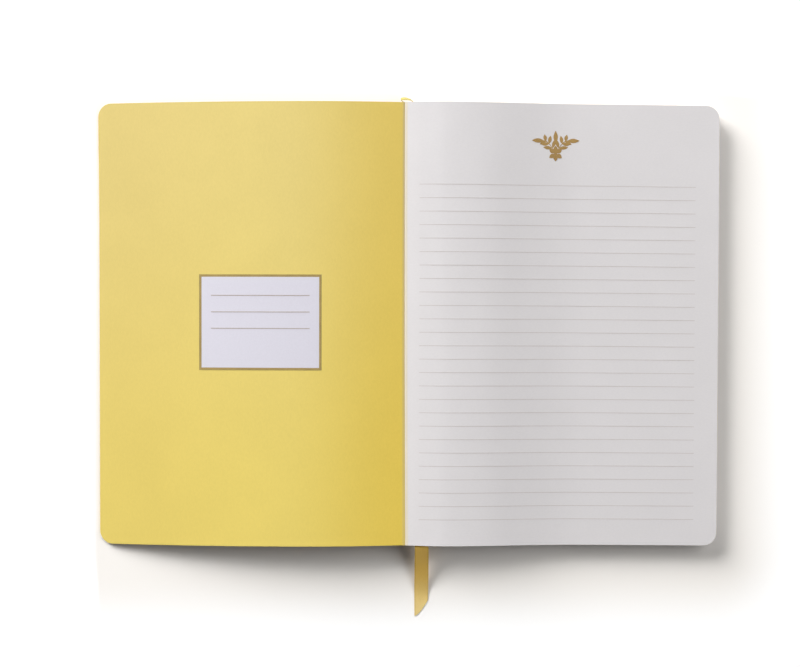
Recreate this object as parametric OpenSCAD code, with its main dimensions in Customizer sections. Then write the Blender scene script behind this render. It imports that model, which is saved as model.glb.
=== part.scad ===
// Softcover journal lying open at its first page, in millimetres.
// X runs across the spread, Y runs from foot to head, and Z is up from the table.
// The gutter line between the front cover and the first leaf is the working zero of X.

/* [Book] */
// Height of the covers and leaves, foot to head
book_h = 210; // [180:1:240]
// Radius of the outer corners of the covers and leaves
corner_r = 6.4; // [0:0.1:15]
// Thickness of the cover material
cover_t = 0.7; // [0.4:0.05:1.5]
// Thickness of the endpaper pasted inside each cover
endpaper_t = 0.2; // [0.1:0.05:0.4]

/* [Leaves] */
// Reach of the first leaf from the gutter line
leaf_w = 150; // [120:0.1:175]
// How much further the last leaf reaches at the fore-edge
fore_slant = 0; // [0:0.1:4]
// Height of the first leaf above the table where it meets the gutter
gutter_z = 8.9; // [5:0.1:14]
// Height of the first leaf at its crest
crest_z = 11.5; // [6:0.1:18]
// Distance of the crest from the gutter line
crest_x = 20; // [8:0.5:40]
// Height of the first leaf at the fore-edge
fore_z = 7; // [3:0.1:14]
// Distance from the gutter line where the leaves settle to the fore-edge height
settle_x = 85; // [50:1:130]

/* [Open front cover] */
// Reach of the front cover from the gutter line
cover_reach = 145.7; // [120:0.1:175]
// Height of its inner face at its crest
cover_crest_z = 11.3; // [6:0.1:18]
// Distance of that crest from the gutter line
cover_crest_x = 38; // [15:1:60]
// How sharply it bends down to the table beyond the crest
cover_bend = 1.8; // [1:0.1:3]
// Gap between the front cover and the gutter line
cover_gap = 0.8; // [0.4:0.05:2]

/* [Spine] */
// Thickness of the glued lining on the back of the leaves
lining_t = 0.6; // [0.4:0.05:1.5]
// Gap left between the lining and the covers, at the top and the bottom
lining_gap = 0.05; // [0:0.05:1]
// Height of the top of the spine above the table
spine_top = 7.5; // [5:0.1:14]
// Gap between the spine and the back cover, for its crease
back_gap = 0.65; // [0.3:0.05:2]

/* [Ribbon] */
// Width of the ribbon
ribbon_w = 6.6; // [3:0.1:12]
// Thickness of the ribbon
ribbon_t = 0.25; // [0.15:0.05:0.6]
// Length of the ribbon glued down the spine
ribbon_glued = 25; // [15:1:120]
// Centre of the glued length above the table
ribbon_spine_z = 4.2; // [2:0.1:8]
// Distance of the ribbon from the gutter line at the head
ribbon_head_x = 4.4; // [3:0.1:20]
// Distance of the ribbon from the gutter line at the foot
ribbon_foot_x = 8.7; // [3:0.1:40]
// Depth of the ribbon below the first page
ribbon_depth = 0.95; // [0.5:0.05:4]
// Height of the ribbon's loop beyond the head
loop_h = 2.6; // [1.5:0.1:8]
// Length of the tail beyond the foot, along its long edge
tail_l = 36; // [10:0.1:80]
// How far the tail runs before it lies on the table
tail_fall = 16; // [8:0.5:40]
// Sideways drift of the tail over its length
tail_drift = 0.4; // [-5:0.1:5]
// How far the slanting cut runs along the ribbon
tail_cut = 7.8; // [0:0.1:15]
// Room around the ribbon between the leaves
slot_room = 0.15; // [0.1:0.05:0.5]

/* [Bookplate] */
// Width of the bookplate, border included
plate_w = 58; // [30:0.5:100]
// Height of the bookplate, border included
plate_h = 45.2; // [20:0.5:80]
// Distance of its middle from the gutter line
plate_x = 67.9; // [40:0.1:100]
// Height of its middle above the middle of the cover
plate_y = 0.9; // [-60:0.1:60]
// Width of its gold border
plate_border = 1.15; // [0.5:0.05:4]
// Length of its ruled lines
plate_line_l = 46.7; // [20:0.1:90]
// Width of its ruled lines
plate_line_w = 0.4; // [0.2:0.05:1]
// Distance between its ruled lines
plate_line_pitch = 7.78; // [4:0.01:15]
// Height of the first ruled line above the plate's middle
plate_line_y = 12.7; // [0:0.1:20]
// Number of its ruled lines
plate_lines = 3; // [1:1:6]

/* [Ruled page] */
// Distance between the ruled lines
rule_pitch = 6.35; // [4:0.05:12]
// Distance of the first ruled line from the head
rule_head = 38.75; // [10:0.25:80]
// Least distance of the last ruled line from the foot
rule_foot = 12; // [4:0.5:80]
// Width of a ruled line
rule_w = 0.25; // [0.1:0.05:0.6]
// Where the ruled lines start, from the gutter line
rule_start = 7.2; // [2:0.1:30]
// Length of a ruled line
rule_l = 131.7; // [60:0.1:150]

/* [Page ornament] */
// Width of the gold sprig printed above the ruled lines
sprig_w = 22; // [10:0.5:50]
// Distance of its middle from the gutter line
sprig_x = 71.8; // [30:0.1:120]
// Distance of its middle from the head
sprig_head = 19.2; // [9:0.1:60]
// Length of one of its leaves
sprig_leaf_l = 6; // [3:0.1:12]
// Width of one of its leaves
sprig_leaf_w = 2.1; // [1:0.1:5]
// Width of its stem
sprig_stem = 0.5; // [0.3:0.05:1.5]
// Number of leaf pairs on each half
sprig_pairs = 3; // [1:1:5]
// Diameter of its round berries
sprig_berry = 1.5; // [0.5:0.1:4]

/* [Print] */
// Thickness given to printed and pasted-on pieces
print_t = 0.06; // [0.04:0.01:0.3]

/* [Colours] */
// Endpapers
yellow = [0.91, 0.82, 0.50];
// Outside of the cover
ochre = [0.78, 0.62, 0.30];
// Leaves
white = [0.90, 0.89, 0.88];
// Glued lining of the spine
cream = [0.85, 0.82, 0.74];
// Ribbon
amber = [0.86, 0.68, 0.33];
// Border and ornament
gold = [0.63, 0.48, 0.24];
// Field of the bookplate
pale = [0.87, 0.86, 0.89];
// Ruled lines
taupe = [0.66, 0.61, 0.58];

/* [Hidden] */
back_top = cover_t + endpaper_t;
cover_edge_z = cover_t + endpaper_t;
back_reach = leaf_w + fore_slant;
half_h = book_h / 2;
spine_in = lining_t;
spine_out = lining_t + cover_t;
back_start = back_gap - spine_in;
rule_y = half_h - rule_head;
rules = floor((book_h - rule_head - rule_foot) / rule_pitch) + 1;
sprig_y = half_h - sprig_head;
// The spread's own middle goes to the middle of the frame
centre_x = (back_reach - cover_reach) / 2;

page_step = 2;
slope_step = 4;
cover_step = 6;
corner_fn = 48;
leaf_steps = 8;
sprig_rise = 6;
sprig_steps = 8;

function smooth(s) = s * s * (3 - 2 * s);

// Height of the first leaf at a distance from the gutter line
function leaf_curve(x) =
    x < crest_x ? gutter_z + (crest_z - gutter_z) * sin(90 * x / crest_x)
    : x < settle_x ? fore_z + (crest_z - fore_z) * (1 + cos(180 * (x - crest_x) / (settle_x - crest_x))) / 2
    : fore_z;

// Height of the open front cover's inner face at a distance from the gutter line
function cover_curve(u) =
    u < cover_crest_x ? gutter_z + (cover_crest_z - gutter_z) * sin(90 * u / cover_crest_x)
    : cover_crest_z - (cover_crest_z - cover_edge_z)
      * pow((u - cover_crest_x) / (cover_reach - cover_crest_x), cover_bend);

leaf_line = [for (x = concat([for (x = [0:page_step:crest_x]) x],
                             [for (x = [crest_x + slope_step:slope_step:settle_x - 1]) x],
                             [settle_x, back_reach])) [x, leaf_curve(x)]];
cover_line = [for (u = concat([cover_gap], [for (u = [4:cover_step:cover_reach - 3]) u], [cover_reach]))
              [u, cover_curve(u)]];

function leaf_z(x) = lookup(x, leaf_line);
function cover_z(u) = lookup(u, cover_line);
function leaf_slope(x) = atan2(leaf_z(x + 3) - leaf_z(x - 3), 6);

module placed() translate([-centre_x, 0, 0]) children();

module to_left() mirror([1, 0, 0]) children();

// Stands an outline drawn in X and Z up, h long in Y about y0
module upright(h, y0 = 0) translate([0, y0 + h / 2, 0]) rotate([90, 0, 0]) linear_extrude(h) children();

// Plan of a leaf or board that starts at x0 and has two rounded outer corners
module board_plan(x0, reach) {
    translate([x0, -half_h]) square([reach - corner_r - x0, book_h]);
    translate([x0, corner_r - half_h]) square([reach - x0, book_h - 2 * corner_r]);
    for (s = [-1, 1]) translate([reach - corner_r, s * (half_h - corner_r)]) circle(corner_r, $fn = corner_fn);
}

// Outline of a band that follows a line of [distance, height] points between two distances
module band(line, from, to, low, high) {
    mid = [for (p = line) if (p[0] > from && p[0] < to) p];
    run = concat([[from, lookup(from, line)]], mid, [[to, lookup(to, line)]]);
    n = len(run) - 1;
    polygon(concat([for (p = run) [p[0], p[1] + high]], [for (i = [n:-1:0]) [run[i][0], run[i][1] + low]]));
}

// One layer of the open front cover
module cover_layer(low, high) to_left() intersection() {
    upright(book_h) band(cover_line, cover_gap, cover_reach, low, high);
    linear_extrude(cover_crest_z + 1) board_plan(0, cover_reach);
}

// A rectangle printed or pasted on the front cover's inner face
module on_cover(x_mid, y_mid, w, h, low, high)
    to_left() upright(h, y_mid) band(cover_line, x_mid - w / 2, x_mid + w / 2, low, high);

// Corner points of the ribbon at one station: its middle, the vector across it and the way it faces
function station(c, across, face, t) = [c - across / 2 - face * t / 2, c + across / 2 - face * t / 2,
                                        c + across / 2 + face * t / 2, c - across / 2 + face * t / 2];

// A flat strip through stations of four corners each
module strip(stations) {
    n = len(stations);
    polyhedron(
        points = [for (s = stations) each s],
        faces = concat([[0, 1, 2], [0, 2, 3]],
            [for (i = [0:n - 2]) for (k = [0:3]) [4 * i + k, 4 * i + 4 + k, 4 * i + 4 + (k + 1) % 4]],
            [for (i = [0:n - 2]) for (k = [0:3]) [4 * i + k, 4 * i + 4 + (k + 1) % 4, 4 * i + (k + 1) % 4]],
            [[4 * n - 4, 4 * n - 2, 4 * n - 3], [4 * n - 4, 4 * n - 1, 4 * n - 2]]));
}

function unit(v) = v / norm(v);
// Across vector turned square to the way along
function square_to(v, along) = unit(v - along * (v * along));

spine_x = -(lining_t - ribbon_t / 2 - 0.025);
head_start = half_h + 0.4;
head_z = leaf_z(ribbon_head_x) - ribbon_depth;
foot_z = leaf_z(ribbon_foot_x) - ribbon_depth;
loop_steps = 24;
tail_steps = 16;

// Middle line of the loop over the head, s from 0 at the spine to 1 at the leaves
function loop_at(s) = [spine_x + (ribbon_head_x - spine_x) * (1 - cos(180 * s)) / 2,
                       head_start + loop_h * sin(180 * s),
                       ribbon_spine_z + (head_z - ribbon_spine_z) * smooth(s)];
function loop_along(s) = unit(loop_at(s + 0.01) - loop_at(s - 0.01));
// The ribbon stands on edge at the spine and turns flat where it enters the leaves
function loop_turn(s) = (90 + leaf_slope(ribbon_head_x)) * smooth(max(0, (s - 0.35) / 0.65));
function loop_across(s) = let (a = s <= 0 ? [0, 1, 0] : s >= 1 ? [0, -1, 0] : loop_along(s),
                               up = square_to([0, 0, 1], a), side = cross(a, up), t = loop_turn(s))
    cos(t) * up + sin(t) * side;

function flat_across(x) = -[cos(leaf_slope(x)), 0, sin(leaf_slope(x))];
function run_station(x, y, z, w, t) = let (a = flat_across(x)) station([x, y, z], w * a, cross([0, -1, 0], a), t);

// Middle line of the tail at a distance d beyond the foot, which ends flat on the table
function tail_drop(d) = smooth(min(1, d / tail_fall));
function tail_at(d) = [ribbon_foot_x + tail_drift * d / tail_l, -half_h - d,
                       foot_z + (ribbon_t / 2 - foot_z) * tail_drop(d)];
function tail_across(d) = let (a = leaf_slope(ribbon_foot_x) * (1 - tail_drop(d))) -[cos(a), 0, sin(a)];
function tail_station(d) = let (along = unit(tail_at(d + 0.01) - tail_at(d - 0.01)),
                                across = square_to(tail_across(d), along))
    station(tail_at(d), ribbon_w * across, cross(along, across), ribbon_t);
function tail_end() = station(tail_at(tail_l - tail_cut / 2), -[ribbon_w, tail_cut, 0], [0, 0, -1], ribbon_t);

// The ribbon's corners between the leaves, with room added all round
function run_stations(room, over) =
    [run_station(ribbon_head_x, half_h + over, head_z, ribbon_w + 2 * room, ribbon_t + 2 * room),
     run_station(ribbon_foot_x, -half_h - over, foot_z, ribbon_w + 2 * room, ribbon_t + 2 * room)];

module front_cover() placed() color(ochre) cover_layer(-endpaper_t - cover_t, -endpaper_t);

module front_endpaper() placed() color(yellow) cover_layer(-endpaper_t, 0);

module cover_spine() placed() color(ochre)
    upright(book_h) translate([-spine_out, 0]) square([cover_t, spine_top]);

module back_cover() placed() color(ochre) linear_extrude(cover_t) board_plan(back_start, back_reach);

module back_endpaper() placed() color(yellow)
    translate([0, 0, cover_t]) linear_extrude(endpaper_t) board_plan(back_start, back_reach);

module spine_lining() placed() color(cream) difference() {
    upright(book_h) translate([-spine_in, back_top + lining_gap])
        square([lining_t, spine_top - back_top - lining_gap]);
    translate([-spine_in - 1, half_h - ribbon_glued - slot_room, ribbon_spine_z - ribbon_w / 2 - 0.05])
        cube([1 + ribbon_t + 0.05, ribbon_glued + 1, ribbon_w + 0.1]);
}

module text_block() placed() color(white) difference() {
    intersection() {
        upright(book_h) polygon(concat([for (p = leaf_line) if (p[0] < leaf_w) p],
            [[leaf_w, fore_z], [back_reach, back_top], [0, back_top]]));
        linear_extrude(crest_z + 1) board_plan(-1, back_reach);
    }
    strip(run_stations(slot_room, 1));
}

module ribbon_marker() placed() color(amber) strip(concat(
    [station([spine_x, half_h - ribbon_glued, ribbon_spine_z], [0, 0, ribbon_w], [1, 0, 0], ribbon_t)],
    [for (i = [0:loop_steps]) let (s = i / loop_steps, w = loop_across(s))
        station(loop_at(s), ribbon_w * w,
                cross(s <= 0 ? [0, 1, 0] : s >= 1 ? [0, -1, 0] : loop_along(s), w), ribbon_t)],
    [for (i = [0:tail_steps]) tail_station((tail_l - tail_cut) * i / tail_steps)],
    [tail_end()]));

module label_border() placed() color(gold) difference() {
    on_cover(plate_x, plate_y, plate_w, plate_h, 0, print_t);
    on_cover(plate_x, plate_y, plate_w - 2 * plate_border, plate_h - 2 * plate_border, -1, 1);
}

module label_panel() placed() color(pale)
    on_cover(plate_x, plate_y, plate_w - 2 * plate_border, plate_h - 2 * plate_border, 0, print_t);

module label_rules() placed() color(taupe) for (i = [0:plate_lines - 1])
    on_cover(plate_x, plate_y + plate_line_y - i * plate_line_pitch, plate_line_l, plate_line_w,
             print_t, 2 * print_t);

module ruled_lines() placed() color(taupe) for (i = [0:rules - 1])
    upright(rule_w, rule_y - i * rule_pitch) band(leaf_line, rule_start, rule_start + rule_l, 0, print_t);

// Leaf with a point at both ends, from the origin along X
module sprig_leaf(l, w) polygon(concat([for (i = [0:leaf_steps - 1]) l * [i, 0] / leaf_steps + [0, w / 2 * sin(180 * i / leaf_steps)]],
    [for (i = [leaf_steps:-1:1]) l * [i, 0] / leaf_steps - [0, w / 2 * sin(180 * i / leaf_steps)]]));

// Middle line of the stem, t from -1 at the left tip to 1 at the right tip
function sprig_at(t) = [(sprig_w / 2 - sprig_leaf_l * 0.9) * t, sprig_rise * (sin(90 * abs(t)) - 0.75)];
function sprig_angle(t) = let (d = sprig_at(t) - sprig_at(t - 0.02)) atan2(d[1], d[0]);

module sprig() {
    polygon(concat([for (i = [-sprig_steps:sprig_steps]) sprig_at(i / sprig_steps) + [0, sprig_stem / 2]],
                   [for (i = [sprig_steps:-1:-sprig_steps]) sprig_at(i / sprig_steps) - [0, sprig_stem / 2]]));
    for (m = [0, 1]) mirror([m, 0]) {
        for (i = [1:sprig_pairs]) let (t = i / (sprig_pairs + 0.6)) for (s = [-1, 1])
            translate(sprig_at(t)) rotate(sprig_angle(t) + 52 * s)
                sprig_leaf(sprig_leaf_l * (0.85 - 0.1 * i), sprig_leaf_w * 0.8);
        translate(sprig_at(0.97)) rotate(sprig_angle(1)) sprig_leaf(sprig_leaf_l, sprig_leaf_w);
    }
    translate(sprig_at(0)) {
        for (a = [-90, -35, -145, 35, 90, 145]) rotate(a) translate([sprig_berry * 0.25, 0])
            sprig_leaf(sprig_leaf_l * 0.55, sprig_leaf_w);
        circle(d = sprig_berry, $fn = 20);
        translate([0, sprig_leaf_l * 0.8]) rotate(90) sprig_leaf(sprig_leaf_l, sprig_leaf_w);
    }
}

module page_ornament() placed() color(gold) intersection() {
    linear_extrude(crest_z + 1) translate([sprig_x, sprig_y]) sprig();
    upright(sprig_w, sprig_y) band(leaf_line, sprig_x - sprig_w / 2 - 1, sprig_x + sprig_w / 2 + 1, 0, print_t);
}

front_cover();
front_endpaper();
cover_spine();
back_cover();
back_endpaper();
spine_lining();
text_block();
ribbon_marker();
label_panel();
label_border();
label_rules();
ruled_lines();
page_ornament();
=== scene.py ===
"""Softcover journal lying open at its first page, dressed for a studio picture.

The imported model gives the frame, in metres: X runs across the spread, Y from foot to head and Z up from the
table. Shapes are worked out in millimetres from the gutter line and brought into the frame at the end.
"""

import math
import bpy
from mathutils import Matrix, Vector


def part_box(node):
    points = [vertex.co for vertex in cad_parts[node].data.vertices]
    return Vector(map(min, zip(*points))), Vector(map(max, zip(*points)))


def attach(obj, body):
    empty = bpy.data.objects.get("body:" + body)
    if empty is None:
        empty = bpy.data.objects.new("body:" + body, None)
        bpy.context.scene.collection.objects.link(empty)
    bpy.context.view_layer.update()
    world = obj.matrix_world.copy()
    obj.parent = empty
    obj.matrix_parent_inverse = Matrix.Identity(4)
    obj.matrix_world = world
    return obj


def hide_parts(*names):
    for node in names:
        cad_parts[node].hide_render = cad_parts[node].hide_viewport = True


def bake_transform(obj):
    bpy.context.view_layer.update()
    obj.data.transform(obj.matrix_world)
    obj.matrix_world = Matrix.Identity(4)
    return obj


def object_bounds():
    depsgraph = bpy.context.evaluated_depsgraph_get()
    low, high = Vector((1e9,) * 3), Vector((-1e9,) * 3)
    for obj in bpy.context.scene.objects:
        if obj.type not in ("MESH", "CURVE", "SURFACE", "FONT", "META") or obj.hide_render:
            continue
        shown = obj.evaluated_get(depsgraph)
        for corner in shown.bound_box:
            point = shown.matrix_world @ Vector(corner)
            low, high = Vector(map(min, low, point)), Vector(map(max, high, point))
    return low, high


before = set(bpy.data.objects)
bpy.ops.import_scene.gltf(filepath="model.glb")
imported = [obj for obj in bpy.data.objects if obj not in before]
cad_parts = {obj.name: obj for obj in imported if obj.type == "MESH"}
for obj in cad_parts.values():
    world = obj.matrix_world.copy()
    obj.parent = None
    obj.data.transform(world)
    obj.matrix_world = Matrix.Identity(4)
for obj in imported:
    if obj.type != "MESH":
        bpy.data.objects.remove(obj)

from types import SimpleNamespace

import bmesh
import bpy
import numpy as np
from bpy.props import FloatProperty, FloatVectorProperty, IntProperty, PointerProperty
from mathutils import Matrix, Vector

bl_info = {
    "name": "Softcover journal",
    "version": (1, 0, 0),
    "blender": (4, 5, 0),
    "location": "3D View > Sidebar > Journal",
    "description": "Builds an open softcover journal with ruled leaves, endpapers and a ribbon marker",
    "category": "Object",
}

MM = 0.001
CAD_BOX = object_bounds()
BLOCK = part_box("text_block")
GUTTER_X = BLOCK[0][0] / MM
BOOK_H = (BLOCK[1][1] - BLOCK[0][1]) / MM
BACK_REACH = (BLOCK[1][0] - BLOCK[0][0]) / MM
COVER_REACH = GUTTER_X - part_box("front_cover")[0][0] / MM

# Camera over the spread: millimetres from the gutter line, tilts in degrees and focal length in pixels
PHOTO_W = 800.0
CAMERA_AT = (-13.81, 8.47, 600.0)
CAMERA_TILT = (1.234, 1.157, -0.126)
CAMERA_FOCAL_PX = 1248.0
# Half the side of the square table in metres, its own white, and the brighter whites that the camera sees: beside
# the book a dimmer, warmer one, painted shade that deepens the book's shadow, and a brighter one in the open
TABLE_HALF = 2.5
TABLE_WHITE = (0.80, 0.80, 0.80)
FLOOR_NEAR = (1.10, 1.06, 1.01)
FLOOR_OPEN = (1.25, 1.25, 1.25)
# Distances from the book, in metres, over which the table turns from the painted shade beside the book to open,
# and over which it turns plain white
NEAR_TO_OPEN = (0.012, 0.045)
OPEN_TO_WHITE = (0.10, 0.35)
# How much sooner the table turns open to the left and the head, where the light comes from
LIT_SIDE = 12.0
# name, azimuth and elevation in degrees, distance and side in metres, watts
LIGHTS = (
    ("window", 135.0, 24.0, 3.2, 1.6, 118.0),
    ("window_low", 135.0, 14.0, 3.2, 1.6, 36.0),
    ("window_far", 110.0, 24.0, 3.2, 1.6, 30.0),
    ("reflector_side", 0.0, 35.0, 2.5, 1.6, 18.0),
    ("reflector_back", 45.0, 45.0, 2.5, 1.6, 14.0),
)


def length(label, words, default):
    """A length that a user can change: given here in millimetres, and kept in metres."""
    return FloatProperty(
        name=label, description=words, default=default * MM, min=0.0, max=400 * MM, precision=5, unit="LENGTH"
    )


def exponent(label, words, default):
    """An exponent that a user can change: 1 is even, and more is sharper at one end."""
    return FloatProperty(name=label, description=words, default=default, min=1.0, max=6.0)


def whole_number(label, words, default, low, high):
    """A whole number that a user can change."""
    return IntProperty(name=label, description=words, default=default, min=low, max=high)


def colour(label, words, default):
    """A colour that a user can change."""
    return FloatVectorProperty(
        name=label, description=words, default=default, size=3, min=0.0, max=1.0, subtype="COLOR"
    )


class JournalSizes(bpy.types.PropertyGroup):
    """Sizes of the journal, measured from the gutter line and the table."""

    book_h: length("Height", "Height of covers and leaves, foot to head", BOOK_H)
    corner_r: length("Corner radius", "Radius of the outer corners", 6.4)
    cover_t: length("Cover thickness", "Thickness of the soft cover", 0.7)
    endpaper_t: length("Endpaper thickness", "Thickness of an endpaper", 0.2)
    lining_t: length("Lining thickness", "Thickness of the glued lining of the spine", 0.6)
    gutter_z: length("Gutter height", "Height of the first leaf at the gutter", 8.9)
    crest_z: length("Crest height", "Height of the first leaf at its crest", 11.5)
    crest_x: length("Crest distance", "Distance of the crest from the gutter line", 20.0)
    fore_z: length("Fore-edge height", "Height of the first leaf at the fore-edge", 7.0)
    settle_x: length("Settling distance", "Where the leaves reach the fore-edge height", 85.0)
    back_reach: length("Back reach", "Reach of the back cover and the last leaf", BACK_REACH)
    cover_reach: length("Front reach", "Reach of the front cover from the gutter line", COVER_REACH)
    cover_crest_z: length("Cover crest height", "Height of the open cover at its crest", 11.3)
    cover_crest_x: length("Cover crest distance", "Distance of that crest from the gutter line", 38.0)
    cover_bend: exponent("Cover bend", "How sharply the cover bends down to the table", 1.8)
    drift_left: length("Left drift", "How far the open cover's edge drifts towards the foot", 0.4)
    drift_right: length("Right drift", "How far the leaves' fore-edge drifts towards the foot", 0.7)
    draw_in: length("Drawn-in edge", "How far the open cover's edge draws in below the head", 0.45)
    first_reach: length("First leaf", "Reach of the first leaf from the gutter line", 150.1)
    rule_first: length("First rule", "Distance of the first ruled line from the head", 38.75)
    rule_pitch: length("Rule pitch", "Distance between two ruled lines", 6.35)
    rule_start: length("Rule start", "Where the ruled lines start", 7.2)
    rule_end: length("Rule end", "Where the ruled lines end", 138.9)
    rule_w: length("Rule width", "Width of a ruled line", 0.25)
    rules: whole_number("Rules", "Ruled lines on the page", 26, 1, 60)
    leaves: whole_number("Leaves", "Leaves below the ribbon", 64, 8, 120)
    upper_leaves: whole_number("Upper leaves", "Leaves above the ribbon", 6, 1, 30)
    ribbon_w: length("Ribbon width", "Width of the ribbon", 6.6)
    ribbon_t: length("Ribbon thickness", "Thickness of the ribbon", 0.25)
    ribbon_glued: length("Glued length", "Length of ribbon glued down the spine", 25.0)
    ribbon_spine_z: length("Glued height", "Height of the ribbon's middle on the spine", 4.2)
    ribbon_head_x: length("Ribbon at head", "Distance of the ribbon from the gutter at the head", 3.9)
    ribbon_foot_x: length("Ribbon at foot", "Distance of the ribbon from the gutter at the foot", 8.7)
    ribbon_depth: length("Ribbon depth", "Depth of the ribbon below the first page", 0.95)
    loop_h: length("Loop height", "Height of the loop over the head", 2.2)
    loop_bulge: length("Loop bulge", "How far the loop bulges towards the open cover", 4.2)
    loop_lean: FloatProperty(
        name="Loop lean", description="Lean of the loop over the head", default=math.radians(18), subtype="ANGLE"
    )
    tail_l: length("Tail length", "Length of the tail beyond the foot, along its long edge", 36.0)
    tail_fall: length("Tail fall", "How far the tail runs before it lies on the table", 27.0)
    tail_bend: length("Tail bend", "How softly the tail bends over the leaves' edge", 1.6)
    tail_ease: exponent("Tail ease", "How steeply the tail drops beside the leaves", 1.6)
    tail_drift: length("Tail drift", "Sideways drift of the tail", 0.4)
    tail_cut: length("Tail cut", "How far the slanting cut runs along the ribbon", 7.8)
    tail_flare: length("Tail flare", "How far the tip of the tail flares away from the fore-edge", 0.8)


class JournalColours(bpy.types.PropertyGroup):
    """Colours of the journal's materials, as scene-linear values."""

    endpaper: colour("Endpaper", "Yellow of the endpapers", (0.857, 0.677, 0.162))
    cover: colour("Cover", "Outside of the soft cover", (0.50, 0.31, 0.075))
    leaf: colour("Leaf", "Uncoated white of the leaves", (0.74, 0.715, 0.72))
    ribbon: colour("Ribbon", "Satin of the ribbon", (0.97, 0.60, 0.12))
    gold: colour("Gold", "Gold ink of the ornament", (0.345, 0.215, 0.07))
    border: colour("Border", "Paler gold ink of the bookplate's border", (0.36, 0.262, 0.092))
    plate: colour("Bookplate", "Pale field of the bookplate", (0.74, 0.72, 0.80))
    rule: colour("Ruling", "Ink of the ruled lines", (0.42, 0.34, 0.30))
    lining: colour("Lining", "Gauze and glue on the spine", (0.60, 0.55, 0.44))


# ---- shader nodes written as expressions


class Field:
    """A value that varies over a surface: one output socket, with arithmetic that adds Math nodes."""

    def __init__(self, tree, socket):
        self.tree, self.socket = tree, socket

    def _math(self, operation, other=None, swap=False):
        n = self.tree.nodes.new("ShaderNodeMath")
        n.operation = operation
        pair = (other, self) if swap else (self, other)
        for plug, value in zip(n.inputs, pair):
            if isinstance(value, Field):
                self.tree.links.new(value.socket, plug)
            elif value is not None:
                plug.default_value = value
        return Field(self.tree, n.outputs[0])

    def __add__(self, other):
        return self._math("ADD", other)

    def __sub__(self, other):
        return self._math("SUBTRACT", other)

    def __rsub__(self, other):
        return self._math("SUBTRACT", other, swap=True)

    def __mul__(self, other):
        return self._math("MULTIPLY", other)

    def __pow__(self, other):
        return self._math("POWER", other)

    def sine(self):
        return self._math("SINE")

    def whole(self):
        return self._math("FLOOR")

    def rest(self):
        return self._math("FRACT")

    def size(self):
        return self._math("ABSOLUTE")

    def most(self, other):
        return self._math("MAXIMUM", other)


class Finish:
    """One material, or the world: its nodes, and the Principled shader that a material has."""

    def __init__(self, name, owner=None):
        self.material = owner or bpy.data.materials.new(name)
        self.material.use_nodes = True
        self.tree = self.material.node_tree
        self.shader = self.tree.nodes.get("Principled BSDF")

    def node(self, kind, settings=None, inputs=None, output=0):
        """Adds any node, its settings first, then values or links of its sockets, and gives one output."""
        n = self.tree.nodes.new(kind)
        for key, value in (settings or {}).items():
            setattr(n, key, value)
        for key, value in (inputs or {}).items():
            self.plug(n.inputs[key], value)
        return Field(self.tree, n.outputs[output])

    def plug(self, socket, value):
        if isinstance(value, Field):
            self.tree.links.new(value.socket, socket)
        else:
            socket.default_value = value

    def place(self, output="Object"):
        """Where a point of the surface is, in metres."""
        return self.node("ShaderNodeTexCoord", output=output)

    def stretched(self, place, scale, turn=(0.0, 0.0, 0.0)):
        """Coordinates scaled, and turned, before a pattern reads them."""
        return self.node("ShaderNodeMapping", inputs={"Vector": place, "Scale": scale, "Rotation": turn})

    def seen(self):
        """1 for rays from the camera, in gloss or through glass, and 0 for rays that only light things."""
        camera, gloss, through = (self.node("ShaderNodeLightPath", output="Is %s Ray" % kind)
                                  for kind in ("Camera", "Glossy", "Transmission"))
        return camera.most(gloss).most(through)

    def wave(self, value, pitch):
        """A sine wave from 0 to 1 that repeats every pitch."""
        return (value * (2 * math.pi / pitch)).sine() * 0.5 + 0.5

    def noise(self, place, per_metre, detail, rough, twist=0.0):
        """Soft noise from 0 to 1, with so many blobs to the metre."""
        sockets = {"Scale": per_metre, "Detail": detail, "Roughness": rough, "Distortion": twist}
        return self.node("ShaderNodeTexNoise", inputs={"Vector": place, **sockets})

    def cells(self, place, per_metre, feature):
        """Distance to the nearest cell centre or cell wall."""
        sockets = {"Vector": place, "Scale": per_metre}
        return self.node("ShaderNodeTexVoronoi", {"feature": feature}, sockets)

    def part(self, vector, axis):
        """One coordinate of a vector: 0, 1 or 2."""
        return self.node("ShaderNodeSeparateXYZ", inputs={"Vector": vector}, output=axis)

    def band(self, value, low, high, to_low=0.0, to_high=1.0):
        """Maps low..high to to_low..to_high smoothly, and holds the ends."""
        sockets = {"Value": value, "From Min": low, "From Max": high, "To Min": to_low, "To Max": to_high}
        return self.node("ShaderNodeMapRange", {"interpolation_type": "SMOOTHSTEP"}, sockets)

    def blend(self, share, first, second, way="MIX"):
        """Mixes two colours, each a triple or a Field."""
        n = self.tree.nodes.new("ShaderNodeMix")
        n.data_type, n.blend_type = "RGBA", way
        self.plug(n.inputs[0], share)
        for socket, value in ((n.inputs[6], first), (n.inputs[7], second)):
            self.plug(socket, value if isinstance(value, Field) else (*value, 1.0))
        return Field(self.tree, n.outputs[2])

    def tint(self, share, base, factors):
        """Multiplies a colour by factors where the share is 1, and leaves it where the share is 0."""
        return self.blend(share, base, factors, "MULTIPLY")

    def mix(self, share, first, second):
        """Mixes two shaders."""
        return self.node("ShaderNodeMixShader", inputs={0: share, 1: first, 2: second})

    def bump(self, height, depth, strength):
        """Relief of so many metres, from a height of 0 to 1."""
        sockets = {"Height": height, "Distance": depth, "Strength": strength}
        self.plug(self.shader.inputs["Normal"], self.node("ShaderNodeBump", inputs=sockets))

    def set(self, **sockets):
        """Sets sockets of the shader: words joined by _ stand for the socket's name."""
        for key, value in sockets.items():
            socket = self.shader.inputs[key.replace("_", " ")]
            if socket.type == "RGBA" and not isinstance(value, Field):
                value = (*value, 1.0)
            self.plug(socket, value)
        return self.material


def shade(base, amount):
    """A colour made lighter or darker by a factor."""
    return tuple(min(1.0, c * amount) for c in base)


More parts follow.
